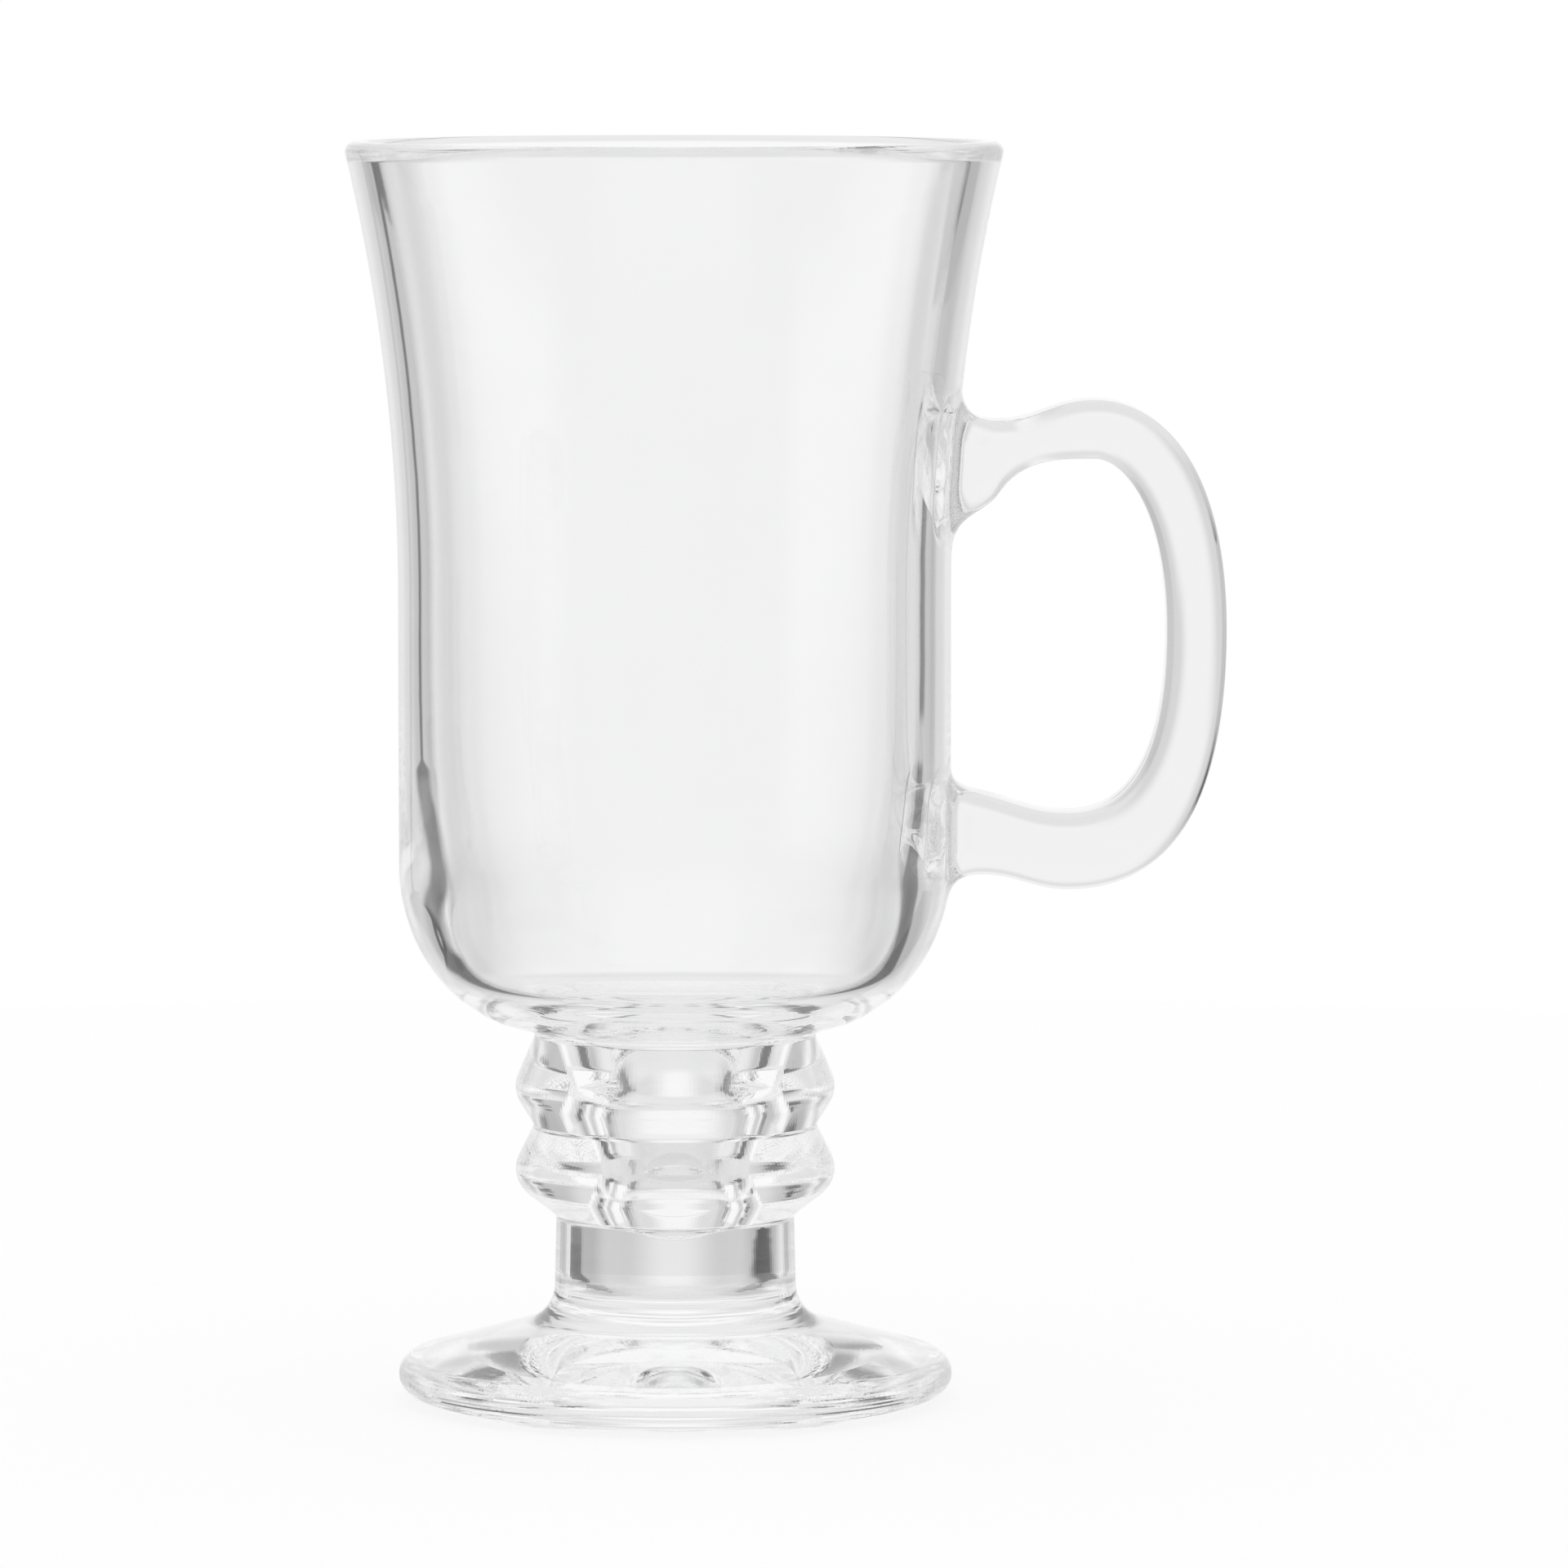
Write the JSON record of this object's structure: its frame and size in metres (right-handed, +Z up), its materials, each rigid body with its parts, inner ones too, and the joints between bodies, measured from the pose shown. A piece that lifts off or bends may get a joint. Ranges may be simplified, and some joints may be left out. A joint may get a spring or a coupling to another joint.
{
  "type": "irish coffee mug",
  "caption": "Footed Irish coffee mug of clear pressed glass: flared bowl with a tapered well under its floor, strap handle at the side, two rounded knops, short stem and sloped round foot.",
  "frame": {"origin": "middle of the foot's flat resting ring, on the table", "axes": "+Z up along the mug's axis, +X towards the handle, +Y across the handle"},
  "size_m": [0.1058, 0.079, 0.152],
  "materials": {
    "glass": "polished"
  },
  "bodies": {
    "root": {"bowl": "glass", "handle": "glass", "upper_knop": "glass", "lower_knop": "glass", "stem": "glass", "foot": "glass"}
  },
  "joints": []
}
